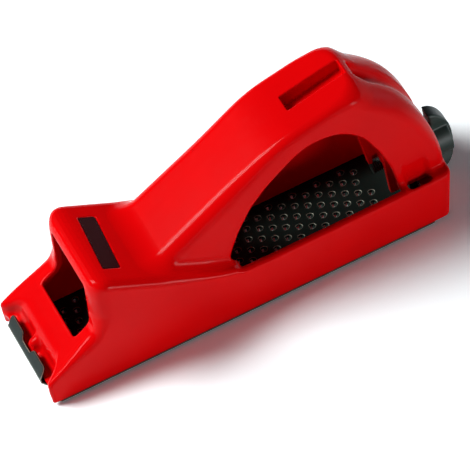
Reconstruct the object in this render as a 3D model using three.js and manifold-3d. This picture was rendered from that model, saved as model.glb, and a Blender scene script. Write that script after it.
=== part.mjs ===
// Pocket rasp plane: a one-piece moulded body carries a perforated steel rasp blade.
// Millimetres, +Z up, +X from nose to tail, the teeth rest on Z = 0.
import * as THREE from 'three';
import { mergeVertices } from 'three/addons/utils/BufferGeometryUtils.js';
import Module from 'manifold-3d';

const wasm = await Module();
wasm.setup();

// Clearances and overrun
const fit_gap = 0.3;
const running_gap = 0.3;
const overrun = 6;

// Blade: sheet, teeth and hole pattern
const sheet = 0.8;
const tooth_height = 0.5;
const blade_from_tail = 4;
const blade_half_width = 21.7;
const blade_front_x = 2;
const tab_half_width = 15;
const tab_root_x = 8;
const lip_bend_x = -1.05;
const lip_bend_height = 6.5;
const lip_half_width = 14;
const lip_length = 5.7;
const lip_lean = THREE.MathUtils.degToRad(32);
const lip_notch_half_width = 3.6;
const lip_notch_flare = 1.2;
const lip_notch_depth = 2.6;
const heel_half_width = 12;
const heel_height = 2.6;
const hole_pitch_x = 9.36;
const hole_track = 2.32;
const hole_step = 4.01;
const hole_length = 2.2;
const hole_width = 2.4;
const tooth_length = 1.5;
const tooth_width = 1.7;
const hole_margin = 4.7;
const first_hole_x = 8.5;
const hole_origin_x = 6.23;
const last_hole_from_tail = 18.4;

// Body: side view
const base_length = 152;
const wall = 2.8;
const nose_height = 10.5;
const deck_length = 21.8;
const deck_top = 23.5;
const pad_front_x = 24;
const pad_height = 47.7;
const valley_x = 47.4;
const valley_height = 34.9;
const knee_from_tail = 51;
const knee_drop = 7.5;
const crest_from_tail = 17.5;
const crest_height = 71.4;
const dome_from_tail = 36;
const dome_drop = 44.4;
const dome_reach = 41.2;
const dome_rise = 45;
const tail_lean = 4;
const nose_fillet = 1.2;
const deck_fillet = 3;
const pad_fillet = 7;
const valley_fillet = 6;
const knee_fillet = 10;
const crest_fillet = 4;
const tail_fillet = 2;

// Body: widths
const side_cover = 0.3;
const side_draft = 0.6;
const band_height = 21;
const handle_half_width = 15;
const handle_foot_half_width = 17.2;
const front_corner_radius = 2.3;
const pad_corner_radius = 6;
const ear_thickness = 2.4;
const recess_root_half_width = 13;
const recess_root_x = 10;
const rear_corner_radius = 5;
const cheek_corner_radius = 12;

// Body: openings and hollows
const mouth_x = 15.2;
const mouth_half_width = 13.5;
const mouth_floor = 12;
const mouth_roof = 40.6;
const palm_front_x = 74;
const palm_from_tail = 14;
const palm_drop = 13.2;
const palm_sill = 6;
const pocket_from_tail = 11;
const pocket_length = 8;
const pocket_depth = 6;
const pocket_bite = 1.4;
const pocket_rise = 9;
const trough_from_tail = 42.5;
const trough_length = 22.5;
const trough_half_width = 3.5;
const trough_depth = 6;
const trough_run_out = 5;
const groove_radius = 4.1;
const groove_path_radius = 44.1;
const groove_path_setback = 1.4;
const groove_from_tail = 13;

// Tension screw, knob and hook
const axis_height = 16;
const screw_radius = 2.5;
const screw_tip_from_tail = 17.5;
const head_across = 8;
const head_length = 3.5;
const washer_radius = 6;
const washer_thickness = 0.8;
const clip_radius = 5;
const clip_thickness = 0.8;
const boss_radius = 6.5;
const boss_face_past_tail = 4.2;
const knob_radius = 14.6;
const knob_bulge = 7.7;
const knob_thickness = 6;
const knob_scoop_depth = 1.6;
const knob_scoop_radius = 32;
const knob_hub_radius = 6.4;
const knob_hub_length = 6.2;
const knob_cap = 1.2;
const hook_half_width = 6;
const hook_sheet = 2.2;
const hook_from_tail = 7.3;
const hook_top_above_axis = 5.5;
const hook_rise = 0.6;
const guide_thickness = 2.2;
const guide_length = 15;
const guide_half_height = 7;
const web_thickness = 3;
const web_tip_from_tail = 18.2;
const web_tip_length = 1.5;
const web_clearance = 0.7;
const web_rake = 1.5;
const web_rise = 14.8;
const web_root_from_tail = 24;

// Blank label on the thumb pad
const label_x = 35.8;
const label_length = 6.4;
const label_half_width = 13;
const label_slant = 2;
const label_thickness = 0.4;
const label_recess = 0.5;
const label_gap = 0.25;

// Tongue that keys the blade lip
const tongue_half_width = 2.9;
const tongue_height = 3.6;

// Lines that several pieces share
const tail_x = base_length + tail_lean;
const half_width = blade_half_width + side_cover;
const recess_mouth_half_width = half_width - ear_thickness;
const blade_rear_x = base_length - blade_from_tail;
const last_hole_x = base_length - last_hole_from_tail;
const dome_x = base_length - dome_from_tail;
const dome_z = crest_height - dome_drop;
const plate_top = tooth_height + sheet;
const shell_foot = plate_top + fit_gap;
const pad_slope = (valley_height - pad_height) / (valley_x - pad_front_x);
const pad_angle = Math.atan(pad_slope);
const ledge_x = pad_front_x + (band_height - pad_height) / pad_slope;
const palm_top = crest_height - palm_drop;
const palm_rear_x = base_length - palm_from_tail;
const boss_face_x = base_length + boss_face_past_tail;
const washer_x = boss_face_x + running_gap;
const knob_x = washer_x + washer_thickness + running_gap;
const hook_x = base_length - hook_from_tail;
const notch_floor = lip_bend_height + (lip_length - lip_notch_depth) * Math.cos(lip_lean);
const knob_rear_x = knob_x + knob_bulge;
const centre_x = (lip_bend_x + knob_rear_x) / 2;

// Solids for cutting and joining
function solid(geometry) {
  const bare = geometry.index ? geometry.toNonIndexed() : geometry.clone();
  bare.deleteAttribute('normal');
  bare.deleteAttribute('uv');
  const merged = mergeVertices(bare);
  const vertProperties = new Float32Array(merged.attributes.position.array);
  const triVerts = new Uint32Array(merged.index.array);
  return new wasm.Manifold(new wasm.Mesh({ numProp: 3, vertProperties, triVerts }));
}

function surface(body) {
  const mesh = body.getMesh();
  const geometry = new THREE.BufferGeometry();
  geometry.setAttribute('position', new THREE.BufferAttribute(new Float32Array(mesh.vertProperties), 3));
  geometry.setIndex(new THREE.BufferAttribute(new Uint32Array(mesh.triVerts), 1));
  geometry.computeVertexNormals();
  return geometry;
}

// Corners are [u, v, fillet] and run anticlockwise
function outline(corners) {
  const shape = new THREE.Shape();
  const count = corners.length;
  const toward = (from, to, distance) => {
    const length = Math.hypot(to[0] - from[0], to[1] - from[1]);
    const part = Math.min(distance / length, 1 / 2);
    return [from[0] + (to[0] - from[0]) * part, from[1] + (to[1] - from[1]) * part];
  };
  corners.forEach((corner, index) => {
    const fillet = corner[2] ?? 0;
    const enter = toward(corner, corners[(index + count - 1) % count], fillet);
    const leave = toward(corner, corners[(index + 1) % count], fillet);
    if (index === 0) {
      shape.moveTo(...enter);
    } else {
      shape.lineTo(...enter);
    }
    if (fillet > 0) {
      shape.quadraticCurveTo(corner[0], corner[1], ...leave);
    }
  });
  return shape;
}

function inset(corners, distance) {
  const count = corners.length;
  const normal = (from, to) => {
    const length = Math.hypot(to[0] - from[0], to[1] - from[1]);
    return [(from[1] - to[1]) / length, (to[0] - from[0]) / length];
  };
  return corners.map((corner, index) => {
    const before = normal(corners[(index + count - 1) % count], corner);
    const after = normal(corner, corners[(index + 1) % count]);
    const scale = distance / (1 + before[0] * after[0] + before[1] * after[1]);
    const u = corner[0] + (before[0] + after[0]) * scale;
    const v = corner[1] + (before[1] + after[1]) * scale;
    return [u, v, corner[2]];
  });
}

// An open path of [u, v] points moved to its right by a distance
function offsetPath(path, distance) {
  const normal = (from, to) => {
    const length = Math.hypot(to[0] - from[0], to[1] - from[1]);
    return [(to[1] - from[1]) / length, (from[0] - to[0]) / length];
  };
  return path.map((point, index) => {
    const before = index > 0 ? normal(path[index - 1], point) : normal(point, path[index + 1]);
    const after = index < path.length - 1 ? normal(point, path[index + 1]) : before;
    const scale = distance / (1 + before[0] * after[0] + before[1] * after[1]);
    return [point[0] + (before[0] + after[0]) * scale, point[1] + (before[1] + after[1]) * scale];
  });
}

function extrude(corners, depth, curveSegments) {
  return new THREE.ExtrudeGeometry(outline(corners), { depth, bevelEnabled: false, curveSegments });
}

function prismX(corners, from, to, curveSegments = 6) {
  const geometry = extrude(corners, to - from, curveSegments);
  const across = new THREE.Vector3(0, 1, 0);
  const up = new THREE.Vector3(0, 0, 1);
  const along = new THREE.Vector3(1, 0, 0);
  geometry.applyMatrix4(new THREE.Matrix4().makeBasis(across, up, along));
  return solid(geometry.translate(from, 0, 0));
}

function prismY(corners, from, to, curveSegments = 6) {
  const geometry = extrude(corners, to - from, curveSegments);
  return solid(geometry.rotateX(Math.PI / 2).translate(0, to, 0));
}

function prismZ(corners, from, to, curveSegments = 6) {
  return solid(extrude(corners, to - from, curveSegments).translate(0, 0, from));
}

function block(x0, x1, y0, y1, z0, z1) {
  const geometry = new THREE.BoxGeometry(x1 - x0, y1 - y0, z1 - z0);
  return solid(geometry.translate((x0 + x1) / 2, (y0 + y1) / 2, (z0 + z1) / 2));
}

function rodX(radius, x0, x1, height, sides = 32) {
  const geometry = new THREE.CylinderGeometry(radius, radius, x1 - x0, sides);
  return solid(geometry.rotateZ(Math.PI / 2).translate((x0 + x1) / 2, 0, height));
}

// A block that lies evenly about the middle plane
function slab(x0, x1, half, z0, z1) {
  return block(x0, x1, -half, half, z0, z1);
}

// Side view of the body, from the foot of the nose round by the tail
function sideCorners() {
  const quarter_turn_share = [-0.07, 0.05, 0.16, 0.27, 0.38, 0.49, 0.58];
  const dome = quarter_turn_share.map((share) => {
    const angle = (share * Math.PI) / 2;
    return [dome_x + dome_reach * Math.cos(angle), dome_z + dome_rise * Math.sin(angle)];
  });
  return [
    [0, shell_foot],
    [base_length, shell_foot],
    [tail_x, band_height, tail_fillet],
    ...dome,
    [base_length - crest_from_tail, crest_height, crest_fillet],
    [base_length - knee_from_tail, crest_height - knee_drop, knee_fillet],
    [valley_x, valley_height, valley_fillet],
    [pad_front_x, pad_height, pad_fillet],
    [deck_length, deck_top, deck_fillet],
    [0, nose_height, nose_fillet],
  ];
}

// The side walls stand up to the pad's plane, then to the level ledge
function bandCorners() {
  return [
    [-overrun, shell_foot - overrun],
    [tail_x + overrun, shell_foot - overrun],
    [tail_x + overrun, band_height],
    [ledge_x, band_height],
    [-overrun, pad_height - pad_slope * (pad_front_x + overrun)],
  ];
}

function handleCorners() {
  const top = crest_height + overrun;
  const run = (top - band_height) / (crest_height - band_height);
  const top_half_width = handle_foot_half_width - (handle_foot_half_width - handle_half_width) * run;
  return [
    [-handle_foot_half_width, mouth_floor],
    [handle_foot_half_width, mouth_floor],
    [top_half_width, top],
    [-top_half_width, top],
  ];
}

function planCorners(front_x, rear_x, half, front_radius, rear_radius) {
  return [
    [front_x, -half, front_radius],
    [rear_x, -half, rear_radius],
    [rear_x, half, rear_radius],
    [front_x, half, front_radius],
  ];
}

function draftCorners() {
  const top = pad_height;
  const low = shell_foot - overrun;
  const lean = side_draft / top;
  return [
    [-half_width + low * lean, low],
    [half_width - low * lean, low],
    [half_width - (top + overrun) * lean, top + overrun],
    [-half_width + (top + overrun) * lean, top + overrun],
  ];
}

function moulding(distance) {
  const dome_rear_x = dome_x + dome_reach;
  const top = crest_height + overrun;
  const low = shell_foot - overrun;
  const band_plan = planCorners(0, tail_x, half_width, front_corner_radius, rear_corner_radius);
  const pad_plan = planCorners(deck_length, tail_x, half_width, pad_corner_radius, rear_corner_radius);
  const cheek = cheek_corner_radius;
  const handle_plan = planCorners(0, dome_rear_x, handle_foot_half_width, cheek, cheek);
  const side = prismY(inset(sideCorners(), distance), -half_width, half_width);
  const plan = prismZ(inset(band_plan, distance), low, deck_top)
    .add(prismZ(inset(pad_plan, distance), deck_top, top));
  const band = prismY(inset(bandCorners(), distance), -half_width, half_width)
    .intersect(prismX(inset(draftCorners(), distance), -overrun, tail_x + overrun))
    .intersect(plan);
  const handle = prismX(inset(handleCorners(), distance), distance, dome_rear_x)
    .intersect(prismZ(inset(handle_plan, distance), low, top));
  return side.intersect(band.add(handle));
}

// Outline of the palm opening, as shares of its length and height
function palmCorners() {
  const palm_share = [
    [0.03, 0], [1, 0], [0.985, 0.25], [0.94, 0.52], [0.875, 0.78], [0.8, 0.91], [0.72, 0.98], [0.61, 1],
    [0.52, 0.965], [0.42, 0.87], [0.3, 0.74], [0.19, 0.58], [0.09, 0.36], [0.03, 0.18], [0, 0.07],
  ];
  const length = palm_rear_x - palm_front_x;
  const height = palm_top - band_height;
  return palm_share.map(([u, v]) => [palm_front_x + u * length, band_height + v * height]);
}

// A place on the lip, along it from its bend and back from its outer face
function lipPoint(along, back) {
  const x = lip_bend_x + along * Math.sin(lip_lean) + back * Math.cos(lip_lean);
  return [x, lip_bend_height + along * Math.cos(lip_lean) - back * Math.sin(lip_lean)];
}

// Outer face of the blade's front, from the plate up the curved tab to the end of the lip
function bladeFrontPath(lip_end) {
  const tab_share = [[1, 0], [0.74, 0.05], [0.5, 0.18], [0.28, 0.42], [0.1, 0.74], [0, 1]];
  const reach = tab_root_x - lip_bend_x;
  const rise = lip_bend_height - tooth_height;
  const tab = tab_share.map(([u, v]) => [lip_bend_x + u * reach, tooth_height + v * rise]);
  return [...tab, lipPoint(lip_end, 0)];
}

// Everything in front of and below the blade's front, moved back by a distance
function lipRecess(back) {
  const low = shell_foot - overrun;
  const line = offsetPath(bladeFrontPath(lip_length + deck_length), back);
  const high = line[line.length - 1][1];
  const corners = [[-overrun, low], [line[0][0], low], ...line, [-overrun, high]];
  return prismY(corners, -half_width, half_width);
}

function recessCut() {
  const plan = [
    [-overrun, -recess_mouth_half_width],
    [0, -recess_mouth_half_width],
    [recess_root_x, -recess_root_half_width],
    [recess_root_x, recess_root_half_width],
    [0, recess_mouth_half_width],
    [-overrun, recess_mouth_half_width],
  ];
  return lipRecess(sheet + fit_gap).intersect(prismZ(plan, shell_foot - overrun, deck_top));
}

function hollow() {
  const inner_half = half_width - wall;
  const low = shell_foot - overrun;
  const foot = slab(wall, base_length - wall, inner_half, low, band_height - wall);
  const floor_side = prismY(inset(sideCorners(), wall), -inner_half, inner_half)
    .add(slab(wall, base_length - wall, inner_half, low, shell_foot + wall));
  return moulding(wall)
    .add(foot.intersect(floor_side))
    .subtract(lipRecess(sheet + fit_gap + wall))
    .subtract(troughCut(wall))
    .subtract(grooveCut(wall));
}

function mouthCut() {
  const corners = [
    [mouth_x, mouth_floor],
    [valley_x, mouth_floor],
    [valley_x, valley_height - wall],
    [pad_front_x + pad_fillet, mouth_roof],
    [pad_front_x - overrun, mouth_roof],
    [mouth_x, deck_top + overrun],
  ];
  return prismY(corners, -mouth_half_width, mouth_half_width);
}

function palmCut() {
  const inner_half = half_width - wall;
  const reach = half_width + overrun;
  const sill_foot = band_height - palm_sill;
  const sill = slab(palm_front_x + wall, palm_rear_x, inner_half, sill_foot, band_height);
  return prismY(palmCorners(), -reach, reach).add(sill);
}

function pocketCut(side) {
  const front = base_length - pocket_from_tail;
  const outer = half_width - wall;
  const inner = handle_foot_half_width - pocket_bite;
  const wedge = prismX([
    [inner, band_height - pocket_depth],
    [outer, band_height - pocket_depth],
    [outer, band_height + pocket_rise],
    [handle_foot_half_width, band_height + pocket_rise],
    [inner, band_height],
  ], front, front + pocket_length);
  return side > 0 ? wedge : wedge.mirror([0, 1, 0]);
}

function troughCut(grow) {
  const front = base_length - trough_from_tail;
  const rear = front + trough_length;
  const knee_x = base_length - knee_from_tail;
  const crest_x = base_length - crest_from_tail;
  const rise = knee_drop / (crest_x - knee_x);
  const topAt = (x) => crest_height - knee_drop + (x - knee_x) * rise;
  const corners = [
    [front - grow, topAt(front - grow) - trough_depth - grow],
    [rear + grow, topAt(rear + grow) - trough_run_out - grow],
    [rear + grow, topAt(rear + grow) + overrun],
    [front - grow, topAt(front - grow) + overrun],
  ];
  const half = trough_half_width + grow;
  return prismY(corners, -half, half);
}

function grooveCut(grow) {
  const ring = new THREE.TorusGeometry(groove_path_radius, groove_radius + grow, 16, 64);
  const path = solid(ring.rotateX(Math.PI / 2).translate(dome_x - groove_path_setback, 0, dome_z));
  const front = base_length - groove_from_tail - grow;
  const rear = dome_x + groove_path_radius + groove_radius + overrun;
  return path.intersect(slab(front, rear, half_width, band_height, crest_height));
}

// Guide channel for the hook, the screw boss and the web above them
function innerRibs() {
  const inner = hook_half_width + running_gap;
  const outer = inner + guide_thickness;
  const front = base_length - guide_length;
  const low = axis_height - guide_half_height;
  const high = axis_height + guide_half_height;
  const guide = block(front, base_length, inner, outer, low, high);
  const boss = rodX(boss_radius, base_length - wall, boss_face_x, axis_height);
  const tip = base_length - web_tip_from_tail;
  const tip_height = axis_height + screw_radius + web_clearance;
  const web_corners = [
    [tip, tip_height],
    [tip + web_tip_length, tip_height],
    [tip + web_tip_length, high],
    [base_length, high],
    [base_length - wall, palm_top - palm_drop],
    [base_length - web_root_from_tail, palm_top + wall],
    [tip - web_rake, tip_height + web_rise],
  ];
  const web = prismY(web_corners, -web_thickness / 2, web_thickness / 2);
  const bridge = slab(front, base_length, outer, high - fit_gap, high + web_thickness);
  return guide.add(guide.mirror([0, 1, 0])).add(boss).add(web).add(bridge);
}

// The lip's slanted line at a height, moved back by a distance
function lipLineX(height, back) {
  return lip_bend_x + (height - lip_bend_height) * Math.tan(lip_lean) + back / Math.cos(lip_lean);
}

function tongue() {
  const back = sheet + fit_gap;
  const low = notch_floor + fit_gap;
  const high = low + tongue_height;
  const corners = [
    [lipLineX(low, -fit_gap), low],
    [lipLineX(low, back + wall), low],
    [lipLineX(high, back + wall), high],
    [lipLineX(high, back), high],
  ];
  return prismY(corners, -tongue_half_width, tongue_half_width);
}

// A plate lying on the pad's plane, its depth measured down from that plane
function padPlate(grow, depth, rise) {
  const half = label_half_width + grow;
  const run = label_length / 2 + grow;
  const corners = [
    [-run - label_slant / 2, -half],
    [run - label_slant / 2, -half],
    [run + label_slant / 2, half],
    [-run + label_slant / 2, half],
  ];
  const plate = extrude(corners, depth + rise, 1);
  plate.translate(0, 0, -depth).rotateY(-pad_angle);
  plate.translate(label_x, 0, pad_height + (label_x - pad_front_x) * pad_slope);
  return solid(plate);
}

function bodyShell() {
  const bore_front = base_length - guide_length - overrun;
  const bore = rodX(screw_radius + running_gap, bore_front, boss_face_x + overrun, axis_height);
  const block_form = moulding(0);
  const boss = rodX(boss_radius, base_length, boss_face_x, axis_height);
  const ribs = innerRibs().intersect(block_form.add(boss)).subtract(grooveCut(wall / 2));
  return block_form
    .subtract(hollow())
    .subtract(recessCut())
    .subtract(mouthCut())
    .subtract(grooveCut(0))
    .add(ribs)
    .add(tongue().intersect(block_form))
    .subtract(palmCut().subtract(innerRibs()))
    .subtract(pocketCut(-1))
    .subtract(pocketCut(1))
    .subtract(troughCut(0))
    .subtract(bore)
    .subtract(padPlate(label_gap, label_recess, overrun));
}

// Rasp blade: plate, lip and heel, then the holes with their teeth
function bladeBlank() {
  const half = blade_half_width;
  const slit = tab_half_width + fit_gap;
  const ear = block(blade_front_x, tab_root_x + sheet, slit, half, tooth_height, plate_top);
  const plate = slab(tab_root_x, blade_rear_x, half, tooth_height, plate_top);
  const outer = bladeFrontPath(lip_length);
  const inner = offsetPath(outer, sheet).reverse();
  const front = prismY([...outer, ...inner], -tab_half_width, tab_half_width);
  const lip_high = lipPoint(lip_length + sheet, 0)[1];
  const notch = prismX([
    [-lip_notch_half_width, notch_floor],
    [lip_notch_half_width, notch_floor],
    [lip_notch_half_width + lip_notch_flare, lip_high],
    [-lip_notch_half_width - lip_notch_flare, lip_high],
  ], -overrun, tab_root_x);
  const shoulder = block(-overrun, tab_root_x, lip_half_width, half_width, lip_bend_height, lip_high);
  const heel_front = blade_rear_x - sheet;
  const heel_top = plate_top + heel_height;
  const heel = slab(heel_front, blade_rear_x, heel_half_width, tooth_height, heel_top);
  return plate
    .add(front.subtract(notch).subtract(shoulder).subtract(shoulder.mirror([0, 1, 0])))
    .add(ear)
    .add(ear.mirror([0, 1, 0]))
    .add(heel);
}

function holePlaces() {
  const places = [];
  const reach = Math.floor((blade_half_width - hole_margin) / hole_track);
  for (let track = -reach; track <= reach; track += 1) {
    const count = Math.ceil((blade_rear_x + reach * hole_step) / hole_pitch_x);
    for (let step = -count; step <= count; step += 1) {
      const x = hole_origin_x - track * hole_step + step * hole_pitch_x;
      if (x >= first_hole_x && x <= last_hole_x) {
        places.push([x, track * hole_track]);
      }
    }
  }
  return places;
}

function holeCut([x, y]) {
  const hole_share = [[-1, -0.85], [0.2, -1], [1, -0.4], [1, 0.4], [0.2, 1], [-1, 0.85]];
  const corners = hole_share.map(([u, v]) => [x + (u * hole_length) / 2, y + (v * hole_width) / 2]);
  return prismZ(corners, tooth_height - overrun, plate_top + overrun);
}

function tooth([x, y]) {
  const front = x + hole_length / 2;
  const corners = [
    [front, 0],
    [front + tooth_length, tooth_height],
    [front + tooth_length, plate_top - sheet / 2],
    [front, plate_top - sheet / 2],
  ];
  return prismY(corners, y - tooth_width / 2, y + tooth_width / 2);
}

function raspBlade() {
  const places = holePlaces();
  const cuts = wasm.Manifold.union(places.map(holeCut));
  const teeth = wasm.Manifold.union(places.map(tooth));
  return bladeBlank().add(teeth).subtract(cuts);
}

// Hook: a steel plate that the screw draws toward the tail against the blade's heel
function tensionHook() {
  const low = plate_top + hook_rise;
  const high = axis_height + hook_top_above_axis;
  const back = hook_x + hook_sheet;
  const upright = slab(hook_x, back, hook_half_width, low, high);
  const thread = rodX(screw_radius + running_gap, hook_x - overrun, back + overrun, axis_height);
  return upright.subtract(thread);
}

function hexagonCorners(across) {
  const radius = across / 2 / Math.cos(Math.PI / 6);
  return [0, 1, 2, 3, 4, 5].map((side) => {
    const angle = (side * Math.PI) / 3;
    return [radius * Math.cos(angle), axis_height + radius * Math.sin(angle)];
  });
}

function tensionScrew() {
  const head_x = knob_x + knob_hub_length - knob_cap - head_length;
  const shank = rodX(screw_radius, base_length - screw_tip_from_tail, head_x, axis_height, 20);
  const head = prismX(hexagonCorners(head_across), head_x, head_x + head_length);
  return shank.add(head);
}

function tensionKnob() {
  const fin_sides = 24;
  const corners = [];
  for (let step = 0; step <= fin_sides; step += 1) {
    const angle = (step / fin_sides - 1 / 2) * Math.PI;
    corners.push([knob_x + knob_bulge * Math.cos(angle), axis_height + knob_radius * Math.sin(angle)]);
  }
  const fin = prismY(corners, -knob_thickness / 2, knob_thickness / 2);
  const hub = rodX(knob_hub_radius, knob_x, knob_x + knob_hub_length, axis_height);
  const scoop_y = knob_thickness / 2 + knob_scoop_radius - knob_scoop_depth;
  const scoops = [-1, 1].map((side) => {
    const ball = new THREE.SphereGeometry(knob_scoop_radius, 40, 20);
    return solid(ball.translate(knob_x + knob_bulge / 2, side * scoop_y, axis_height));
  });
  const head_x = knob_x + knob_hub_length - knob_cap - head_length;
  const bore = rodX(screw_radius + fit_gap, knob_x - overrun, head_x + head_length, axis_height);
  const seat_rear = head_x + head_length + fit_gap;
  const seat = prismX(hexagonCorners(head_across + 2 * fit_gap), head_x - fit_gap, seat_rear);
  return fin.subtract(scoops[0]).subtract(scoops[1]).add(hub).subtract(bore).subtract(seat);
}

function ring(outer_radius, from, thickness) {
  const to = from + thickness;
  const hole = rodX(screw_radius + running_gap, from - overrun, to + overrun, axis_height);
  return rodX(outer_radius, from, to, axis_height).subtract(hole);
}

function screwClip() {
  return ring(clip_radius, base_length - wall - running_gap - clip_thickness, clip_thickness);
}

// Assembly
const plane = new THREE.Group();
plane.name = 'rasp_plane';
plane.position.x = -centre_x;

function place(name, body, color, roughness, metalness) {
  const material = new THREE.MeshStandardMaterial({ color, roughness, metalness });
  const mesh = new THREE.Mesh(surface(body), material);
  mesh.name = name;
  plane.add(mesh);
}

place('body_shell', bodyShell(), 0xe00808, 0.3, 0);
place('rasp_blade', raspBlade(), 0x3a4742, 0.4, 1);
place('blank_label', padPlate(0, label_recess, label_thickness - label_recess), 0x151515, 0.5, 0);
place('tension_hook', tensionHook(), 0x6f7672, 0.4, 1);
place('tension_screw', tensionScrew(), 0x8b8f8c, 0.35, 1);
place('screw_clip', screwClip(), 0x8b8f8c, 0.35, 1);
place('thrust_washer', ring(washer_radius, washer_x, washer_thickness), 0x8b8f8c, 0.35, 1);
place('tension_knob', tensionKnob(), 0x1b211e, 0.4, 0);

export default plane;
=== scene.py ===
import math

import bpy
import bmesh
import numpy as np
from mathutils import Matrix, Vector
from mathutils.geometry import delaunay_2d_cdt


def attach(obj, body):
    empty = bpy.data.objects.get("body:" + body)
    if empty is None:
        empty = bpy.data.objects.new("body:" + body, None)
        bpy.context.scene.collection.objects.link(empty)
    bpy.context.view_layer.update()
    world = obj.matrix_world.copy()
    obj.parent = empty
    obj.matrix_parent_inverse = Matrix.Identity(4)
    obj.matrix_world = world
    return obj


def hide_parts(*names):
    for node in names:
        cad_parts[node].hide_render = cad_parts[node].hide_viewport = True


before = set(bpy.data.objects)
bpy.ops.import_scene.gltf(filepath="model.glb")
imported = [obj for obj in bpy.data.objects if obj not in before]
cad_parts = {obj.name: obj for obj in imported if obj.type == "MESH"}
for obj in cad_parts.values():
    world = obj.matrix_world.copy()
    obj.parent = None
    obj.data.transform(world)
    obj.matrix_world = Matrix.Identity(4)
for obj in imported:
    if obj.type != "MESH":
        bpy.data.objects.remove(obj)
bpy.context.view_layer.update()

# The body is one injection moulding in glossy red plastic: thumb pad, mouth, hollow
# handle and side walls in one piece, with soft rounds where the mould was cut. Its form
# is worked out in millimetres from the nose, as a distance to the surface.
nose_x = -82.125
wall = 2.8
half_width = 22
foot_z = 1.35
sole_z = 0.5
screw_z = 16
mesh_step = 0.5
most_triangles = 190000


def rounded(corners, steps=10):
    """The outline through corners (u, v, fillet), each fillet a smooth turn."""
    path = []
    for before, (u, v, fillet), after in zip(corners[-1:] + corners, corners,
                                             corners[1:] + corners[:1]):
        ends = []
        for far in (before, after):
            length = math.hypot(far[0] - u, far[1] - v)
            share = min(fillet / length, 0.5)
            ends.append((u + (far[0] - u) * share, v + (far[1] - v) * share))
        for step in range(steps + 1 if fillet else 1):
            t = step / steps
            path.append(tuple((1 - t) ** 2 * a + 2 * t * (1 - t) * b + t * t * c
                              for a, b, c in zip(ends[0], (u, v), ends[1])))
    return path


def outline_distance(u, v, path):
    """How far a place is from a closed outline, less than nothing inside."""
    u, v = np.broadcast_arrays(u, v)
    reach = np.full(u.shape, np.inf)
    inside = np.zeros(u.shape, bool)
    for (au, av), (bu, bv) in zip(path, path[1:] + path[:1]):
        du, dv = bu - au, bv - av
        along = np.clip(((u - au) * du + (v - av) * dv) / max(du * du + dv * dv, 1e-12), 0, 1)
        reach = np.minimum(reach, (u - au - along * du) ** 2 + (v - av - along * dv) ** 2)
        if av != bv:
            inside ^= ((av > v) != (bv > v)) & (u < au + du * (v - av) / dv)
    return np.where(inside, -1, 1) * np.sqrt(reach)


def meet(a, b, radius):
    """What two forms share, with its outer corner rounded."""
    corner = np.hypot(np.maximum(a + radius, 0), np.maximum(b + radius, 0))
    return np.minimum(-radius, np.maximum(a, b)) + corner


def fuse(a, b, radius):
    """Two forms as one, with its inner corner filled."""
    return -meet(-a, -b, radius)


def cut(a, b, radius):
    """The first form without the second, the cut's edge rounded."""
    return meet(a, -b, radius)


def ease(value, start, end):
    """A smooth rise from 0 to 1 between two values."""
    t = np.clip((value - start) / (end - start), 0, 1)
    return t * t * (3 - 2 * t)


def corner_post(x, side, centre_x, radius, toward):
    """A side wall that turns round a corner of a radius to face along x."""
    across = (x - centre_x) * toward
    return (np.hypot(np.maximum(across, 0), np.maximum(side + radius, 0))
            + np.minimum(np.maximum(across, side + radius), 0) - radius)


tail_dome = [(116 + 41.2 * math.cos(a), 27 + 45 * math.sin(a), 0)
             for a in np.radians(np.linspace(-8.2, 52, 28))]
band_side = rounded([(0, -10, 0), (151.2, -10, 0), (156.9, 21, 1.6), (74.3, 21, 14), (24, 48.5, 10),
                     (21.8, 23.5, 3), (0, 10.5, 1.2)])
handle_side = rounded([(30, -10, 0), (150.4, -10, 0)] + tail_dome
                      + [(134.6, 71.4, 3), (101, 63.9, 8), (30, 25.48, 0)])
tail_heights = [-10] + [z for x, z, fillet in tail_dome] + [71.4]
tail_places = [150.4] + [x for x, z, fillet in tail_dome] + [135.5]


def body_form(x, y, z):
    """The moulding's outside before anything is hollowed or cut out."""
    side = np.abs(y)
    band_face = side - (half_width - z * 0.6 / 47.7)
    deck_rise = z - 10.5 - 0.5963 * np.minimum(x, 22)
    pad_front = 21.8 + (z - 23.5) * 2.2 / 25
    pad_corner = corner_post(x, band_face, pad_front + 7.2, 10.2, -1)
    tail_radius = 3.6
    tail_rear = 153.3 + (z - 1.6) * 3.6 / 19.4
    tail_corner = corner_post(x, band_face, tail_rear - tail_radius, tail_radius, 1)
    both_corners = np.maximum(pad_corner, tail_corner)
    band_wall = tail_corner + ease(deck_rise, 0, 7) * (both_corners - tail_corner)
    band_edge = 1.3 + 2.2 * ease(x, 4, 22) - 1.8 * ease(x, 48, 68)
    band = meet(outline_distance(x, z, band_side), band_wall, band_edge)
    handle_face = side - (17.2 - (z - 12) * 2.48 / 62.5)
    turn = 3.5 + 3.5 * ease(z, 22, 42) + 3 * ease(z, 42, 66)
    tail_face = np.interp(z, tail_heights, tail_places)
    handle_wall = corner_post(x, handle_face, tail_face - turn, turn, 1)
    handle_edge = 5 - 2 * ease(x, 76, 108) + 2.6 * ease(x, 118, 136) * ease(z, 24, 46)
    handle = meet(outline_distance(x, z, handle_side), handle_wall, handle_edge)
    cove = 5 - 3.5 * ease(x, 66, 80)
    return np.maximum(fuse(band, handle, cove), band_face)


def mouth_space(x, y, z):
    """The mouth under the thumb pad, where the shavings come out."""
    side = rounded([(15.2, 10, 0), (48.5, 10, 0), (48.5, 30.5, 3), (31, 40.6, 2),
                    (15.2, 41.2, 0)], 4)
    return meet(outline_distance(x, z, side), np.abs(y) - 13.9, 1.2)


tab_root_x = 8
lip_fold_x, lip_fold_z = -1.05, 6.5


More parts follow.
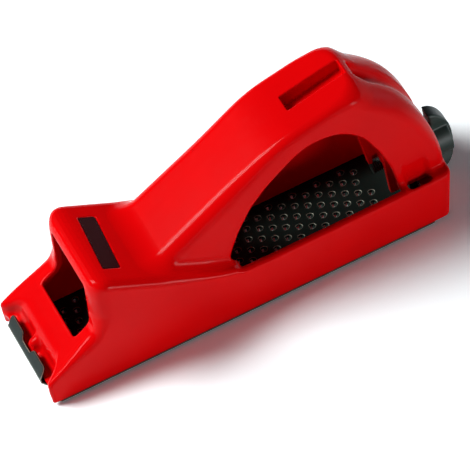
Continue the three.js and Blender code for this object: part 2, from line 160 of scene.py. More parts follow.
def lip_path(end):
    """The blade's outer face at the nose, seen from the side, up to a length of its lip."""
    lean = math.radians(32)
    reach, rise = tab_root_x - lip_fold_x, lip_fold_z - sole_z
    tab = [(tab_root_x - reach * (1 - u), sole_z + rise * v) for u, v in
           ((1, 0), (0.74, 0.05), (0.5, 0.18), (0.28, 0.42), (0.1, 0.74), (0, 1))]
    return tab + [(lip_fold_x + end * math.sin(lean), lip_fold_z + end * math.cos(lean))]


def beside(path, distance):
    """A path moved sideways, to the right of its run."""
    moved = []
    for index, point in enumerate(path):
        turn = []
        for a, b in ((index - 1, index), (index, index + 1)):
            if a >= 0 and b < len(path):
                du, dv = path[b][0] - path[a][0], path[b][1] - path[a][1]
                turn.append((dv / math.hypot(du, dv), -du / math.hypot(du, dv)))
        (pu, pv), (qu, qv) = turn[0], turn[-1]
        scale = distance / (1 + pu * qu + pv * qv)
        moved.append((point[0] + (pu + qu) * scale, point[1] + (pv + qv) * scale))
    return moved


def nose_recess(x, y, z):
    """The room behind the folded lip and the scoop above it."""
    line = beside(lip_path(4.6), 1.15)
    front_side = [(-20, -20), (line[0][0], -20)] + line + [(-20, line[-1][1])]
    scoop_side = rounded([(-20, 7, 0), (5.2, 7, 4), (6.4, 15, 3), (9, 18, 0), (-20, 40, 0)])
    room = fuse(outline_distance(x, z, front_side), outline_distance(x, z, scoop_side), 1)
    return meet(room, np.abs(y) - (19.6 - 0.62 * x), 2.2)


def tongue_form(x, y, z):
    """The bump that stands through the notch of the lip."""
    ball = (np.sqrt(((x - 5.4) / 4) ** 2 + (y / 2.8) ** 2 + ((z - 7.8) / 3.6) ** 2) - 1) * 2.8
    clear = [(-3, 9.5), (3, 9.5), (1, 5.8), (20, 5.8), (20, 20), (-3, 20)]
    return np.maximum(ball, outline_distance(x, z, clear))


def crest_height(x):
    """How high the handle's crest stands, which rises evenly to the tail."""
    return 63.9 + (x - 101) * 0.224


def crest_trough(x, y, z):
    """The long slot sunk into the crest of the handle."""
    front, rear, above = 110, 132.5, 80
    side = [(front, crest_height(front) - 6), (rear, crest_height(rear) - 5), (rear, above),
            (front, above)]
    return meet(outline_distance(x, z, side), np.abs(y) - 3.5, 0.6)


def tail_groove(x, y, z):
    """The round groove that runs down the middle of the tail's dome."""
    path_radius, groove_radius = 44.1, 4.1
    ring = np.hypot(np.hypot(x - 114.6, z - 27) - path_radius, y) - groove_radius
    return meet(meet(ring, 135.3 - x, 0.6), 20.6 - z, 1.5)


palm_x, palm_z, palm_length, palm_height = 74, 21, 64, 37.2
palm_shares = ((0.94, 0.52), (0.875, 0.78), (0.8, 0.91), (0.72, 0.98), (0.61, 1), (0.52, 0.965),
               (0.42, 0.87), (0.3, 0.74), (0.19, 0.58), (0.09, 0.36), (0.03, 0.18), (0, 0.07))
palm_side = rounded([(76.2, palm_z, 1.5), (138, palm_z, 0), (137, 30.3, 3)]
                    + [(palm_x + palm_length * u, palm_z + palm_height * v, 2.4)
                       for u, v in palm_shares], 4)
palm_sill = rounded([(74.6, 14, 0), (138, 14, 0), (137.6, 26, 0), (78, 26, 2)], 4)


def palm_space(x, y, z):
    """The palm opening through both walls, and the lowered sill below it."""
    side = np.abs(y)
    window = np.maximum(outline_distance(x, z, palm_side), side - 30)
    sill = np.maximum(outline_distance(x, z, palm_sill), side - 19.2)
    return window, sill


def from_screw(y, z):
    """How far a place is from the screw's axis."""
    return np.hypot(y, z - screw_z)


def inner_ribs(x, y, z):
    """The hook's guides and their bridge, the web and the strip behind the blade; the boss."""
    side = np.abs(y)
    ahead = 137 - x
    guides = np.maximum(np.maximum(np.abs(side - 7.4) - 1.1, np.abs(z - screw_z) - 7), ahead)
    bridge = np.maximum(np.maximum(side - 8.5, np.abs(z - 24.4) - 1.7), ahead)
    web_side = [(133.8, 19.2), (135.3, 19.2), (135.3, 23), (153, 23), (150, 48), (128, 61),
                (132.3, 34)]
    web = meet(outline_distance(x, z, web_side), side - 1.5, 0.4)
    strip = np.maximum(148.6 - x, np.abs(z - 2.8) - 1.4)
    boss = np.maximum(from_screw(y, z) - 6.5, np.abs(x - 152.7) - 3.5)
    return np.minimum(np.minimum(guides, bridge), np.minimum(web, strip)), boss


def label_place(x, y, z):
    """Places along, across and above the pad's slope, from the label's middle."""
    slope = math.atan2(-12.8, 23.4)
    middle_x, middle_z = 35.8, 42.05
    u, w = x - middle_x, z - middle_z
    along = u * math.cos(slope) + w * math.sin(slope) - y / 13
    return along, y, w * math.cos(slope) - u * math.sin(slope)


def label_bed(x, y, z):
    """The shallow bed that the label is glued into."""
    along, across, above = label_place(x, y, z)
    return np.maximum(meet(np.abs(along) - 3.45, np.abs(across) - 13.25, 0.6), -0.5 - above)


def even_body(x, y, z):
    """The moulding, the same on both sides of its middle."""
    side = np.abs(y)
    outside = body_form(x, y, z)
    recess, trough, groove = (space(x, y, z) for space in (nose_recess, crest_trough, tail_groove))
    ribs, boss = inner_ribs(x, y, z)
    window, sill = palm_space(x, y, z)
    hollow = np.maximum(outside + wall, wall - np.minimum(np.minimum(recess, trough), groove))
    body = meet(outside, foot_z - z, 0.3)
    body = cut(body, hollow, 0.5)
    body = cut(body, recess, 2)
    body = fuse(body, np.maximum(tongue_form(x, y, z), -0.3 - x), 1.6)
    body = cut(body, mouth_space(x, y, z), 0.9)
    body = cut(body, groove, 1.4)
    body = cut(body, trough, 0.5)
    body = cut(body, window, 0.9)
    body = np.maximum(body, -sill)
    ribs = np.maximum(ribs, np.maximum(outside, -groove) + 1)
    body = np.minimum(body, np.minimum(ribs, np.maximum(boss, side - 7)))
    pocket = rounded([(15.4, 21, 1), (19.6, 15, 0), (20.3, 15, 0), (20.3, 32, 0), (17.4, 32, 0)], 4)
    body = cut(body, meet(outline_distance(side, z, pocket), np.abs(x - 145) - 4.4, 1.4), 1.4)
    body = cut(body, np.maximum(from_screw(y, z) - 7.2, 155.8 - x), 0.3)
    bore = np.minimum(2.8 - from_screw(y, z), x - 126)
    return np.maximum(body, bore)


def with_label_bed(body, x, y, z):
    """The moulding with its bed for the label, which isn't the same on both sides."""
    return cut(body, label_bed(x, y, z), 0.25)


def skin(distance, low, high, step, uneven=None):
    """Corners and faces where the distance passes through nothing, one corner to a cell.

    A form that starts at y = 0 is mirrored; uneven then changes the whole of it.
    """
    axes = [np.arange(a, b + step, step) for a, b in zip(low, high)]
    values = distance(*np.ix_(*axes))
    if low[1] == 0:
        values = np.concatenate((values[:, :0:-1], values), axis=1)
        axes[1] = np.concatenate((-axes[1][:0:-1], axes[1]))
    if uneven:
        values = uneven(values, *np.ix_(*axes))
    below = values < 0
    cells = tuple(n - 1 for n in values.shape)
    total = np.zeros(cells + (3,))
    count = np.zeros(cells)
    crossings = []
    for axis in range(3):
        others = [k for k in range(3) if k != axis]
        first = tuple(slice(0, -1) if k == axis else slice(1, -1) for k in range(3))
        last = tuple(slice(1, None) if k == axis else slice(1, -1) for k in range(3))
        found = np.argwhere(below[first] != below[last])
        found[:, others] += 1
        after = found.copy()
        after[:, axis] += 1
        a, b = values[tuple(found.T)], values[tuple(after.T)]
        place = found.astype(float)
        place[:, axis] += a / (a - b)
        around = []
        for shift in ((1, 1), (0, 1), (0, 0), (1, 0)):
            cell = found.copy()
            cell[:, others] -= shift
            np.add.at(total, tuple(cell.T), place)
            np.add.at(count, tuple(cell.T), 1)
            around.append(cell)
        crossings.append((around, (a < 0) == (axis != 1)))
    used = count > 0
    number = np.full(cells, -1)
    number[used] = np.arange(used.sum())
    corners = total[used] / count[used][:, None] * step + [axes[k][0] for k in range(3)]
    faces = []
    for around, outward in crossings:
        quads = np.stack([number[tuple(cell.T)] for cell in around], axis=1)
        faces.append(np.where(outward[:, None], quads, quads[:, ::-1]))
    return corners, np.concatenate(faces)


def slope_of(distance, points, width=0.02):
    """Which way, and how steeply, the distance grows at each point."""
    ways = []
    for axis in range(3):
        ahead, behind = points.copy(), points.copy()
        ahead[:, axis] += width
        behind[:, axis] -= width
        ways.append((distance(*ahead.T) - distance(*behind.T)) / (2 * width))
    return np.stack(ways, axis=1)


def settle(distance, points, rounds, most):
    """Draws the corners onto the true surface."""
    for _ in range(rounds):
        slope = slope_of(distance, points)
        steep = np.maximum((slope ** 2).sum(axis=1), 0.25)
        move = slope * (distance(*points.T) / steep)[:, None]
        size = np.linalg.norm(move, axis=1, keepdims=True)
        points = points - move * np.minimum(1, most / np.maximum(size, 1e-9))
    return points


def thinned(mesh, share):
    """The same surface with fewer triangles, kept where it bends."""
    holder = bpy.data.objects.new(mesh.name, mesh)
    bpy.context.scene.collection.objects.link(holder)
    modifier = holder.modifiers.new("thin", "DECIMATE")
    modifier.ratio = share
    graph = bpy.context.evaluated_depsgraph_get()
    result = bpy.data.meshes.new_from_object(holder.evaluated_get(graph))
    bpy.data.objects.remove(holder)
    return result


def piece_from(name, points, faces, body, distance=None):
    """A smooth-shaded piece from millimetres measured from the nose, riding on a body."""
    mesh = bpy.data.meshes.new(name)
    mesh.from_pydata(np.asarray(points).tolist(), [], [list(face) for face in faces])
    if distance and 2 * len(faces) > most_triangles:
        mesh = thinned(mesh, most_triangles / (2 * len(faces)))
    mesh.shade_smooth()
    if distance:
        corners = np.array([corner.co for corner in mesh.vertices])
        mesh.normals_split_custom_set_from_vertices(slope_of(distance, corners).tolist())
    mesh.transform(Matrix.Scale(0.001, 4) @ Matrix.Translation((nose_x, 0, 0)))
    piece = bpy.data.objects.new(name, mesh)
    bpy.context.scene.collection.objects.link(piece)
    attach(piece, body)
    return piece


def formed(name, distance, low, high, step, body, uneven=None):
    """A piece whose form is a distance, drawn onto its true surface."""
    points, faces = skin(distance, low, high, step, uneven)
    if uneven:
        even = distance
        distance = lambda x, y, z: uneven(even(x, y, z), x, y, z)
    points = settle(distance, points, 2, step)
    return piece_from(name, points, faces, body, distance)


class Value:
    """A number in a material's nodes; sums with it add Math nodes."""

    def __init__(self, finish, socket):
        self.finish, self.socket = finish, socket

    def sum(self, operation, first, second):
        return self.finish.node("ShaderNodeMath", {"operation": operation}, {0: first, 1: second})

    def __add__(self, other):
        return self.sum("ADD", self, other)

    def __radd__(self, other):
        return self.sum("ADD", other, self)

    def __sub__(self, other):
        return self.sum("SUBTRACT", self, other)

    def __rsub__(self, other):
        return self.sum("SUBTRACT", other, self)

    def __mul__(self, other):
        return self.sum("MULTIPLY", self, other)

    def __rmul__(self, other):
        return self.sum("MULTIPLY", other, self)


class Wiring:
    """The nodes that drive one shader."""

    def __init__(self, tree, shader):
        self.tree, self.shader = tree, tree.nodes[shader]

    def node(self, kind, settings, inputs, output=0):
        """A node of a type, its settings made first; gives one of its outputs."""
        added = self.tree.nodes.new(kind)
        for key, value in settings.items():
            if key == "stops":
                ramp = added.color_ramp.elements
                ramp[0].position, ramp[1].position = value[0][0], value[-1][0]
                for place, grey in value[1:-1]:
                    ramp.new(place)
                for stop, (place, grey) in zip(ramp, value):
                    stop.color = (grey, grey, grey, 1)
            else:
                setattr(added, key, value)
        self.feed(inputs, added)
        return Value(self, added.outputs[output])

    def feed(self, inputs, added=None):
        """Sets or links the inputs of the shader, or of another node."""
        added = added or self.shader
        for key, value in inputs.items():
            if isinstance(value, Value):
                self.tree.links.new(value.socket, added.inputs[key])
            else:
                added.inputs[key].default_value = value

    def place(self, stretch=(1, 1, 1)):
        """Where a point is on the piece, in metres."""
        at = self.node("ShaderNodeTexCoord", {}, {}, 3)
        return self.node("ShaderNodeMapping", {}, {"Vector": at, "Scale": stretch})

    def noise(self, size, detail=3, stretch=(1, 1, 1)):
        """Uneven spots of a size in metres."""
        return self.node("ShaderNodeTexNoise", {}, {"Vector": self.place(stretch),
                                                    "Scale": 1 / size, "Detail": detail})

    def steps(self, value, *stops):
        """A number turned into another by stops of (number, grey)."""
        return self.node("ShaderNodeValToRGB", {"stops": stops}, {"Fac": value})

    def colours(self, share, first, second):
        """Two colours mixed by a share."""
        start, end = [c if isinstance(c, Value) else c + (1,) for c in (first, second)]
        return self.node("ShaderNodeMix", {"data_type": "RGBA"}, {0: share, 6: start, 7: end}, 2)

    def bump(self, height, depth, strength=1):
        """Hills of a height from 0 to 1, as deep as depth in metres."""
        hills = self.node("ShaderNodeBump", {}, {"Height": height, "Distance": depth,
                                                 "Strength": strength})
        self.feed({"Normal": hills})


class Finish(Wiring):
    """A material that pieces are finished in."""

    def __init__(self, name, colour, roughness, metallic=0, **plain):
        self.material = bpy.data.materials.new(name)
        self.material.use_nodes = True
        super().__init__(self.material.node_tree, "Principled BSDF")
        self.feed({"Base Color": colour + (1,), "Roughness": roughness, "Metallic": metallic})
        self.feed({key.replace("_", " "): value for key, value in plain.items()})

    def put_on(self, *pieces):
        for piece in pieces:
            piece.data.materials.clear()
            piece.data.materials.append(self.material)


moulding = formed("moulded_body", even_body, (-1.2, 0, -0.4), (158.8, 23, 71.6), mesh_step,
                  "body", with_label_bed)
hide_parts("body_shell")

red = Finish("red_plastic", (0.72, 0.001, 0.002), 0.22, IOR=1.45, Specular_IOR_Level=0.07)
cloud = red.noise(0.03, 2)
deeper = red.steps(cloud, (0.35, 0), (0.7, 1))
scuffs = red.steps(red.noise(0.0016, 4, (0.25, 1, 1)), (0.5, 0), (0.78, 1))
red.feed({"Base Color": red.colours(deeper, (0.75, 0.001, 0.002), (0.68, 0.001, 0.002)),
          "Roughness": 0.13 + scuffs * 0.04 + cloud * 0.04})
red.bump(red.noise(0.0009, 2) * 0.7 + red.noise(0.006, 1) * 0.3, 0.00003, 0.3)
red.put_on(moulding)

# The blade is one strip of hardened sheet steel, 0.8 mm, blackened in oil, as wide as the
# body's foot. Its D holes are pierced from above, so each pushes a cutting tooth out below.
# The front tab, the lip and the heel are folded up, and the lip hooks over the body's nose.
sheet = 0.8
plate_half_width = 21.7
plate_rear = 148
tab_half_width = 15.15
heel_half_width = 12.3
bend_outside = 1.3
bend_length = math.pi / 2 * (bend_outside - sheet / 2)
heel_x = plate_rear - bend_outside
lip_length = 5.7

nose_line = lip_path(lip_length)
for round_off in range(3):
    softer = [nose_line[0]]
    for (au, av), (bu, bv) in zip(nose_line, nose_line[1:]):
        softer += [(0.75 * au + 0.25 * bu, 0.75 * av + 0.25 * bv),
                   (0.25 * au + 0.75 * bu, 0.25 * av + 0.75 * bv)]
    nose_line = softer + [nose_line[-1]]
nose_line = np.array(nose_line)
nose_runs = np.concatenate(([0], np.cumsum(np.linalg.norm(np.diff(nose_line, axis=0), axis=1))))
nose_ways = np.gradient(nose_line, nose_runs, axis=0)
nose_ways /= np.linalg.norm(nose_ways, axis=1, keepdims=True)
lip_end_u = tab_root_x - nose_runs[-1]


def folded_blade(u, v, t):
    """A place on the flat strip, u along, v across and t above its underside, once folded."""
    x, z = u.copy(), sole_z + t
    run = tab_root_x - u
    line_x, line_z = (np.interp(run, nose_runs, nose_line[:, k]) for k in (0, 1))
    way_x, way_z = (np.interp(run, nose_runs, nose_ways[:, k]) for k in (0, 1))
    tab = (run > 0) & (np.abs(v) < tab_half_width)
    x = np.where(tab, line_x + way_z * t, x)
    z = np.where(tab, line_z - way_x * t, z)
    past = np.maximum(u - heel_x, 0)
    angle = np.clip(past / bend_length, 0, 1) * math.pi / 2
    inset = bend_outside - t
    heel = (past > 0) & (np.abs(v) < heel_half_width)
    x = np.where(heel, heel_x + inset * np.sin(angle), x)
    z = np.where(heel, sole_z + bend_outside - inset * np.cos(angle)
                 + np.maximum(past - bend_length, 0), z)
    return np.stack((x, v, z), axis=-1)


def fine_outline(corners, most):
    """A closed outline with a corner at least every so often."""
    path = []
    for (au, av), (bu, bv) in zip(corners, corners[1:] + corners[:1]):
        parts = max(1, math.ceil(math.hypot(bu - au, bv - av) / most))
        path += [(au + (bu - au) * k / parts, av + (bv - av) * k / parts) for k in range(parts)]
    return path


def cut_edge(loop, grow):
    """A loop moved outward on the flat strip by a distance."""
    spots = np.array(loop)
    way = np.roll(spots, -1, axis=0) - np.roll(spots, 1, axis=0)
    way /= np.linalg.norm(way, axis=1, keepdims=True)
    return spots + np.stack((way[:, 1], -way[:, 0]), axis=1) * grow


edge_bevel = 0.12
# Marks for the rings of the cut edge and of each hole, from the top down, partly bare metal and
# partly painted light: the cut edge's lower half is painted bright as a highlight line and its
# upper half stays dark as a painted shadow gap, and the hole rims are painted bright as highlights.
edge_bare_and_highlight = (0, 1)
hole_bare_and_highlight = (0.7, 0.66, 0.25, 0, 0, 0.2, 0.2)


def pierced_strip(outline, holes, inner):
    """Points, faces and marks of the folded strip: bare metal, partly painted highlight.

    Each hole is a list of rings (u, v, t) from the top face down to the underside; inner
    lists places where the flat strip has corners for its folds.
    """
    loops = [outline] + [[tuple(spot[:2]) for spot in hole[0]] for hole in holes]
    spots = [spot for loop in loops for spot in loop] + inner
    edges, owner = [], {}
    for number, loop in enumerate(loops):
        first = sum(len(other) for other in loops[:number])
        for k in range(len(loop)):
            edges.append((first + k, first + (k + 1) % len(loop)))
            owner[first + k] = number
    flat, _, areas, origins, _, _ = delaunay_2d_cdt([Vector(spot) for spot in spots], edges, [],
                                                    1, 1e-5)
    source = [min(origin) if origin else -1 for origin in origins]
    flat = np.array([tuple(spot) for spot in flat])
    count = len(flat)
    points = [np.column_stack((flat, np.full(count, height))) for height in (sheet, 0)]
    bare_and_highlight = [np.zeros(2 * count)]
    faces = []
    for area in areas:
        owners = {owner.get(source[k], 0) for k in area}
        if len(owners) == 1 and owners != {0}:
            continue
        faces += [list(area), [count + k for k in reversed(area)]]
    place = {start: k for k, start in enumerate(source) if start >= 0}
    total = 2 * count
    first = 0
    for number, loop in enumerate(loops):
        around = len(loop)
        if number == 0:
            wide = cut_edge(loop, edge_bevel)
            rings = [np.column_stack((wide, np.full(around, height)))
                     for height in (sheet - edge_bevel, edge_bevel)]
            marks = edge_bare_and_highlight
        else:
            rings = [np.array(ring) for ring in holes[number - 1][1:-1]]
            marks = hole_bare_and_highlight
        rows = [[place[first + k] for k in range(around)]]
        for ring, mark in zip(rings, marks):
            points.append(ring)
            bare_and_highlight.append(np.full(around, mark))
            rows.append(list(range(total, total + around)))
            total += around
        rows.append([count + k for k in rows[0]])
        for above, below in zip(rows, rows[1:]):
            for k in range(around):
                after = (k + 1) % around
                faces.append([above[k], below[k], below[after], above[after]])
        first += around
    return folded_blade(*np.concatenate(points).T), faces, np.concatenate(bare_and_highlight)


hole_angles = [math.radians(a) for a in np.linspace(-128, 128, 17)]
hole_shape = [(-0.25 + 1.35 * math.cos(a), 1.2 * math.sin(a)) for a in hole_angles]
hole_shape += [(-1.1, 0.5), (-1.1, 0), (-1.1, -0.5)]


def tooth_rings(x, y):
    """A pierced hole from above down to the tooth that it leaves below."""
    rings = []
    for share, lean, height, drop in ((1.14, 0, sheet, 0), (1.1, 0, sheet, 0),
                                      (0.97, 0, 0.77, -0.04), (0.93, -0.1, 0.62, -0.2),
                                      (0.9, -0.6, 0.3, -0.34), (0.88, -1.1, 0.02, -0.42),
                                      (0.94, -1.05, 0, -sole_z), (1.1, -0.1, 0, -0.3),
                                      (1.45, 0, 0, 0)):
        ring = []
        for u, v in hole_shape:
            tooth = max(0, u / 1.1) ** 0.6
            ring.append((x + u * (share + lean * tooth), y + v * share, height + drop * tooth))
        rings.append(ring)
    return rings


def blade_outline():
    """The flat strip's outline: lip, notch, tab between its slits, plate and heel."""
    lip_u, notch_u, fold_u = lip_end_u, lip_end_u + 2.6, lip_end_u + lip_length
    heel_u = heel_x + bend_length + 2.1
    half = [(notch_u, 0), (notch_u, 3), (notch_u - 0.6, 3.6), (lip_u + 0.4, 4.7), (lip_u, 5.3),
            (lip_u, 12.6), (lip_u + 0.4, 13.6), (lip_u + 1.4, 14), (fold_u - 0.4, 14),
            (fold_u + 0.4, 15), (7.6, 15), (tab_root_x, tab_half_width), (7.6, 15.3), (2.4, 15.3),
            (2, 15.7), (2, 20.6), (3.1, plate_half_width), (145.8, plate_half_width),
            (plate_rear, 19.2), (plate_rear, 12.7), (146.4, 12.7), (146.4, 12), (heel_u - 0.5, 12),
            (heel_u, 11.5), (heel_u, 0)]
    return fine_outline(half[::-1][:-1] + [(u, -v) for u, v in half][:-1], 3)


def crisp(piece, degrees):
    """Faces a sheet or turned piece outward and keeps its edges crisp from an angle up."""
    work = bmesh.new()
    work.from_mesh(piece.data)
    bmesh.ops.recalc_face_normals(work, faces=work.faces)
    work.to_mesh(piece.data)
    work.free()
    piece.data.set_sharp_from_angle(angle=math.radians(degrees))


first_hole_x, last_hole_x = 8.5, 133.6
hole_step, track_step, track_lean = 9.36, 2.32, 4.01
holes = []
for track in range(-7, 8):
    for step in range(-4, 20):
        x = 6.23 - track * track_lean + step * hole_step
        if first_hole_x <= x <= last_hole_x:
            holes.append(tooth_rings(x, track * track_step))
fold_spots = [(u, v) for u in np.arange(lip_end_u + 3.2, 8.2, 0.45)
              for v in np.arange(-13, 13.5, 2)]
fold_spots += [(u, v) for u in (146.9, 147.3, 147.7, 148.1) for v in np.arange(-11, 12, 2)]
points, faces, bare_and_highlight = pierced_strip(blade_outline(), holes, fold_spots)
blade = piece_from("pierced_blade", points, faces, "body")
crisp(blade, 32)
# A painted highlight along the lip's fold line, as a band of bright bare metal.
from_fold = np.hypot(points[:, 0] - lip_fold_x, points[:, 2] - lip_fold_z)
bare_and_highlight = np.maximum(bare_and_highlight, 0.9 - ease(from_fold, 0.3, 1.1))
marks = blade.data.attributes.new("bare_metal", "FLOAT", "POINT")
marks.data.foreach_set("value", bare_and_highlight.astype(np.float32))
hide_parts("rasp_blade")

steel = Finish("oiled_blade_steel", (0.03, 0.045, 0.04), 0.42, 0.8)
# The marks lighten the steel and make it less metallic: bare metal at the punched rims, and painted
# highlights on the hole rims, the cut edge and the lip's fold.
bare_and_highlight_share = steel.node("ShaderNodeAttribute", {"attribute_name": "bare_metal"}, {}, 2)
oil = steel.noise(0.012, 3)
grain = steel.noise(0.0005, 2, (0.12, 1, 1))
worn_and_highlight = steel.steps(bare_and_highlight_share * 0.9 + steel.noise(0.0012, 2) * 0.2, (0.45, 0), (0.95, 1))
dark = steel.colours(oil, (0.004, 0.01, 0.008), (0.012, 0.024, 0.019))
steel.feed({"Base Color": steel.colours(worn_and_highlight, dark, (0.4, 0.42, 0.33)),
            "Metallic": 0.8 - worn_and_highlight * 0.4,
            "Roughness": 0.36 + oil * 0.14 + grain * 0.1 - worn_and_highlight * 0.08})
steel.bump(grain * 0.7 + oil * 0.3, 0.00002, 0.5)
steel.put_on(blade)

# The label is a thin foil with a satin red-black print, left blank, with slanted ends. It is
# glued into a shallow bed in the thumb pad's slope.


def label_form(x, y, z):
    """The foil, with a fine line pressed in near its edge."""
    along, across, above = label_place(x, y, z)
    rim = meet(np.abs(along) - 3.2, np.abs(across) - 13, 0.7)
    plate = meet(rim, np.abs(above + 0.3) - 0.2, 0.1)
    line = np.abs(meet(np.abs(along) - 2.7, np.abs(across) - 12.5, 0.5)) - 0.08
    return np.maximum(plate, -np.maximum(line, -0.14 - above))


label = formed("blank_foil_label", label_form, (30.6, -13.8, 38), (41, 13.8, 44.6), 0.2, "body")
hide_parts("blank_label")

foil = Finish("dark_foil", (0.03, 0.002, 0.003), 0.4, Specular_IOR_Level=0.08)
speck = foil.noise(0.0007, 3)
foil.feed({"Base Color": foil.colours(speck, (0.024, 0.001, 0.002), (0.036, 0.003, 0.004)),
           "Roughness": 0.34 + speck * 0.18})
foil.bump(speck, 0.00002, 0.5)
foil.put_on(label)

# The hook is a stamped plate of zinc-plated steel. The screw runs in its tapped hole and
# draws it back against the blade's heel, which stretches the blade.
pitch = 0.8


def hook_form(x, y, z):
    """A plate with round shoulders and a tapped hole."""
    side = np.abs(y)
    shoulders = np.maximum(side - 6, np.hypot(side - 2.5, z - 18) - 3.5 + np.minimum(0, z - 18) * 9)
    plate = meet(np.maximum(np.abs(x - 145.8) - 1.1, 1.9 - z), shoulders, 0.3)
    thread = from_screw(y, z) - 2.7 - 0.16 * np.cos(x * 2 * math.pi / pitch)
    return cut(plate, thread, 0.05)


hook = formed("stamped_hook", hook_form, (144.3, 0, 1.5), (147.3, 6.4, 21.9), 0.2, "hook")
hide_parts("tension_hook")

# The plating's colour is far darker than zinc: painted shade, so the hook, screw and rings read
# black in the dark inside of the tail.
zinc_painted_dark = Finish("zinc_plate_painted_dark", (0.08, 0.09, 0.085), 0.34, 1)
spangle = zinc_painted_dark.noise(0.002, 3)
drawn = zinc_painted_dark.noise(0.0004, 2, (0.1, 1, 1))
zinc_painted_dark.feed({"Base Color": zinc_painted_dark.colours(spangle, (0.05, 0.058, 0.055), (0.11, 0.125, 0.115)),
           "Roughness": 0.26 + spangle * 0.16 + drawn * 0.08})
zinc_painted_dark.bump(drawn * 0.6 + spangle * 0.4, 0.00002, 0.4)
zinc_painted_dark.put_on(hook)

# The screw is plated steel with a rolled M5 thread of fine pitch. Its hexagon head sits in
# the knob, and the knob turns it in the boss of the tail wall.
screw_radius = 2.5
thread_depth = 0.46
screw_tip, thread_end, head_top = 134.5, 150.3, 162.6
turn_steps = 30
turn_shares = [step / turn_steps for step in range(turn_steps)]


def shank_radius(x, deep, share):
    """From the axis to the screw's surface, at a share of a turn and a depth of thread."""
    turned = (x / pitch - share) % 1
    crest = 1 - abs(2 * turned - 1)
    radius = screw_radius - thread_depth * max(deep, 0) * (1 - min(1, crest * 1.25))
    return radius - (0.5 * (x < screw_tip + 0.1) + 0.12 * (deep < 0.05) * (x < 151))


def head_radius(across, share):
    """From the axis to the hexagon head's surface, its corners turned off."""
    inside = (share * 2 * math.pi + math.pi / 6) % (math.pi / 3) - math.pi / 6
    return min(across / 2 / math.cos(inside), 4.5 - 0.35 * (across < 8))


stations = []
for number in range(int((thread_end - screw_tip) / pitch * 8) + 1):
    x = screw_tip + number * pitch / 8
    stations.append((x, min(1, (x - screw_tip) / 1.2, (thread_end - x) / 0.8)))
stations += [(150.5, 0), (151.1, 0), (158.9, 0)]
rings = [(x, [shank_radius(x, deep, share) for share in turn_shares]) for x, deep in stations]
for x, across in ((159.1, 7.4), (159.3, 8), (162.4, 8), (head_top, 7.4)):
    rings.append((x, [head_radius(across, share) for share in turn_shares]))
points = [(screw_tip, 0, screw_z)]
for x, radii in rings:
    for share, radius in zip(turn_shares, radii):
        angle = share * 2 * math.pi
        points.append((x, radius * math.cos(angle), screw_z + radius * math.sin(angle)))
points.append((head_top, 0, screw_z))
top = len(points) - 1
faces = []
for step in range(turn_steps):
    after = (step + 1) % turn_steps
    for start in range(1, top - turn_steps, turn_steps):
        faces.append((start + step, start + after, start + after + turn_steps,
                      start + step + turn_steps))
    faces += [(0, 1 + after, 1 + step), (top, top - turn_steps + step, top - turn_steps + after)]
screw = piece_from("threaded_screw", points, faces, "screw")
crisp(screw, 40)
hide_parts("tension_screw")
zinc_painted_dark.put_on(screw)

# Two plated steel rings hold the screw in the tail wall: a snap-on clip inside, with three
# lobes round its shaft, and a thrust washer between the boss and the knob.


def clip_form(x, y, z):
    """A ring open at the foot, its hole widened between three lobes."""
    around = from_screw(y, z)
    bites = np.minimum(np.hypot(np.abs(y) - 2.5, z - 14.6), np.hypot(y, z - 18.9)) - 1.35
    gap = np.maximum(np.abs(y) - 1.9, z - screw_z)
    plate = cut(np.maximum(around - 5, 2.62 - around), np.minimum(bites, gap), 0.3)
    return meet(plate, np.abs(x - 148.5) - 0.4, 0.15)


def washer_form(x, y, z):
    """A flat ring with its edges rounded."""
    around = from_screw(y, z)
    return meet(meet(around - 6, 2.8 - around, 0.1), np.abs(x - 156.9) - 0.4, 0.18)


clip = formed("snap_clip", clip_form, (147.8, 0, 10.6), (149.2, 5.4, 21.4), 0.16, "screw")
washer = formed("thrust_ring", washer_form, (156.2, 0, 9.6), (157.6, 6.4, 22.4), 0.16, "screw")
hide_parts("screw_clip")
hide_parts("thrust_washer")
zinc_painted_dark.put_on(clip, washer)

# The thumb knob is a half-round fin of satin black plastic, scooped on both sides for the
# finger and thumb, with a round hub at its root that the screw's head is pressed into.
fin_root_x, fin_reach, fin_half_height = 157.6, 7.7, 14.6
fin_side = [(fin_root_x, 1.4)]
for angle in np.radians(np.linspace(-90, 90, 41)):
    fin_side.append((fin_root_x + fin_reach * math.cos(angle),
                     screw_z + fin_half_height * math.sin(angle)))


def knob_form(x, y, z):
    """The fin with its finger scoops, the hub, and the seat and bore for the screw."""
    side, height, around = np.abs(y), np.abs(z - screw_z), from_screw(y, z)
    fin = meet(outline_distance(x, z, fin_side), side - 3, 0.9)
    scoop = np.sqrt((x - 161.45) ** 2 + (side - 33.4) ** 2 + height ** 2) - 32
    hub = meet(around - 6.4, np.abs(x - 160.7) - 3.1, 0.7)
    body = fuse(cut(fin, scoop, 0.35), hub, 0.7)
    hexagon = np.maximum(side * math.cos(math.pi / 6) + height * 0.5, height) - 4.3
    seat = np.maximum(hexagon, np.abs(x - 160.85) - 2.05)
    bore = np.maximum(around - 2.8, x - 160)
    return np.maximum(np.maximum(body, -bore), -seat)


knob = formed("thumb_knob", knob_form, (157, 0, 0.8), (166, 7, 31.2), 0.25, "screw")
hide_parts("tension_knob")

black = Finish("black_plastic", (0.02, 0.035, 0.028), 0.4)
pebble = black.noise(0.0006, 3)
rub = black.noise(0.006, 3)
black.feed({"Base Color": black.colours(rub, (0.011, 0.025, 0.02), (0.027, 0.05, 0.041)),
            "Roughness": 0.33 + rub * 0.14 + pebble * 0.08})
black.bump(pebble, 0.00004, 0.5)
black.put_on(knob)

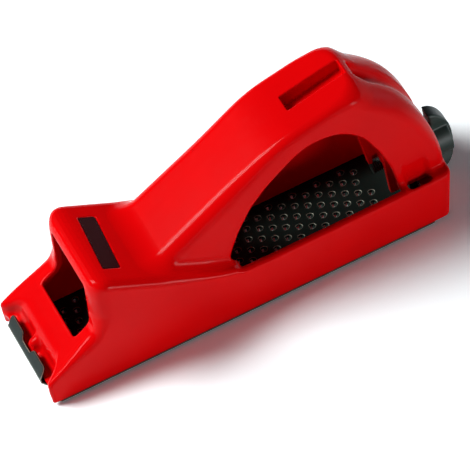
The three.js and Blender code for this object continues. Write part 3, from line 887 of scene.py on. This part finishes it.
# The camera looks down on the near side and the nose, far off with a long lens and turned a
# little about its own line of sight, as the picture was taken. The frame is square.
frame_dots = 470
focal_dots = 4968.7
middle_dots = (227.63, 227.65)
camera_data = bpy.data.cameras.new("camera")
camera = bpy.data.objects.new("camera", camera_data)
bpy.context.scene.collection.objects.link(camera)
bpy.context.scene.camera = camera
azimuth, elevation, roll = math.radians(-12.84), math.radians(49), math.radians(15.75)
back = Vector((math.sin(azimuth) * math.cos(elevation), -math.cos(azimuth) * math.cos(elevation),
               math.sin(elevation)))
level = Vector((math.cos(azimuth), math.sin(azimuth), 0))
upward = back.cross(level)
right = level * math.cos(roll) - upward * math.sin(roll)
top = level * math.sin(roll) + upward * math.cos(roll)
away = 1.7
target = Vector(((80 + nose_x) * 0.001, 0, 0.02))
turn = Matrix((right, top, back)).transposed().to_4x4()
camera.matrix_world = Matrix.Translation(target + back * away) @ turn
camera_data.sensor_width = 36
camera_data.lens = camera_data.sensor_width * focal_dots / frame_dots
camera_data.shift_x = (frame_dots / 2 - middle_dots[0]) / frame_dots
camera_data.shift_y = (middle_dots[1] - frame_dots / 2) / frame_dots
camera_data.clip_start = 0.1
camera_data.clip_end = 20

# The studio is a white paper floor under a room that is pale at the horizon and dark
# overhead. A soft lamp stands high beyond the nose on the far side and a weak one low in
# front, both out of the glossy plastic's mirror directions.
bpy.context.scene.view_settings.view_transform = "Standard"
world = bpy.data.worlds.new("world")
bpy.context.scene.world = world
world.use_nodes = True
sky = Wiring(world.node_tree, "Background")
height = sky.node("ShaderNodeSeparateXYZ", {}, {0: sky.node("ShaderNodeTexCoord", {}, {})}, 2)
overhead = sky.steps(height, (0.06, 0), (0.22, 1))
sky.feed({"Color": sky.colours(overhead, (1.2, 1.2, 1.4), (0.03, 0.03, 0.033))})

lamps = [("key", (-0.75, 0.46, 0.97), 0.55, 20.5), ("front", (0.55, -1.2, 0.15), 0.4, 6.5)]
for name, place, size, power in lamps:
    lamp_data = bpy.data.lights.new(name, "AREA")
    lamp_data.size = size
    lamp_data.energy = power
    lamp = bpy.data.objects.new(name, lamp_data)
    bpy.context.scene.collection.objects.link(lamp)
    lamp.location = place
    toward = Vector((0, 0, 0.03)) - Vector(place)
    lamp.rotation_euler = toward.to_track_quat("-Z", "Y").to_euler()

reach = 3
floor_mesh = bpy.data.meshes.new("floor")
floor_mesh.from_pydata([(-reach, -reach, 0), (reach, -reach, 0), (reach, reach, 0),
                        (-reach, reach, 0)], [], [(0, 1, 2, 3)])
floor = bpy.data.objects.new("floor", floor_mesh)
bpy.context.scene.collection.objects.link(floor)
paper = Finish("white_paper", (0.9, 0.9, 0.9), 0.8, Specular_IOR_Level=0)
seen, mirrored, through = (paper.node("ShaderNodeLightPath", {}, {}, ray) for ray in (0, 3, 6))
paper.feed({"Base Color": paper.colours(seen + mirrored + through, (0.8, 0.8, 0.8),
                                        (1.24, 1.34, 1.36))})
paper.put_on(floor)
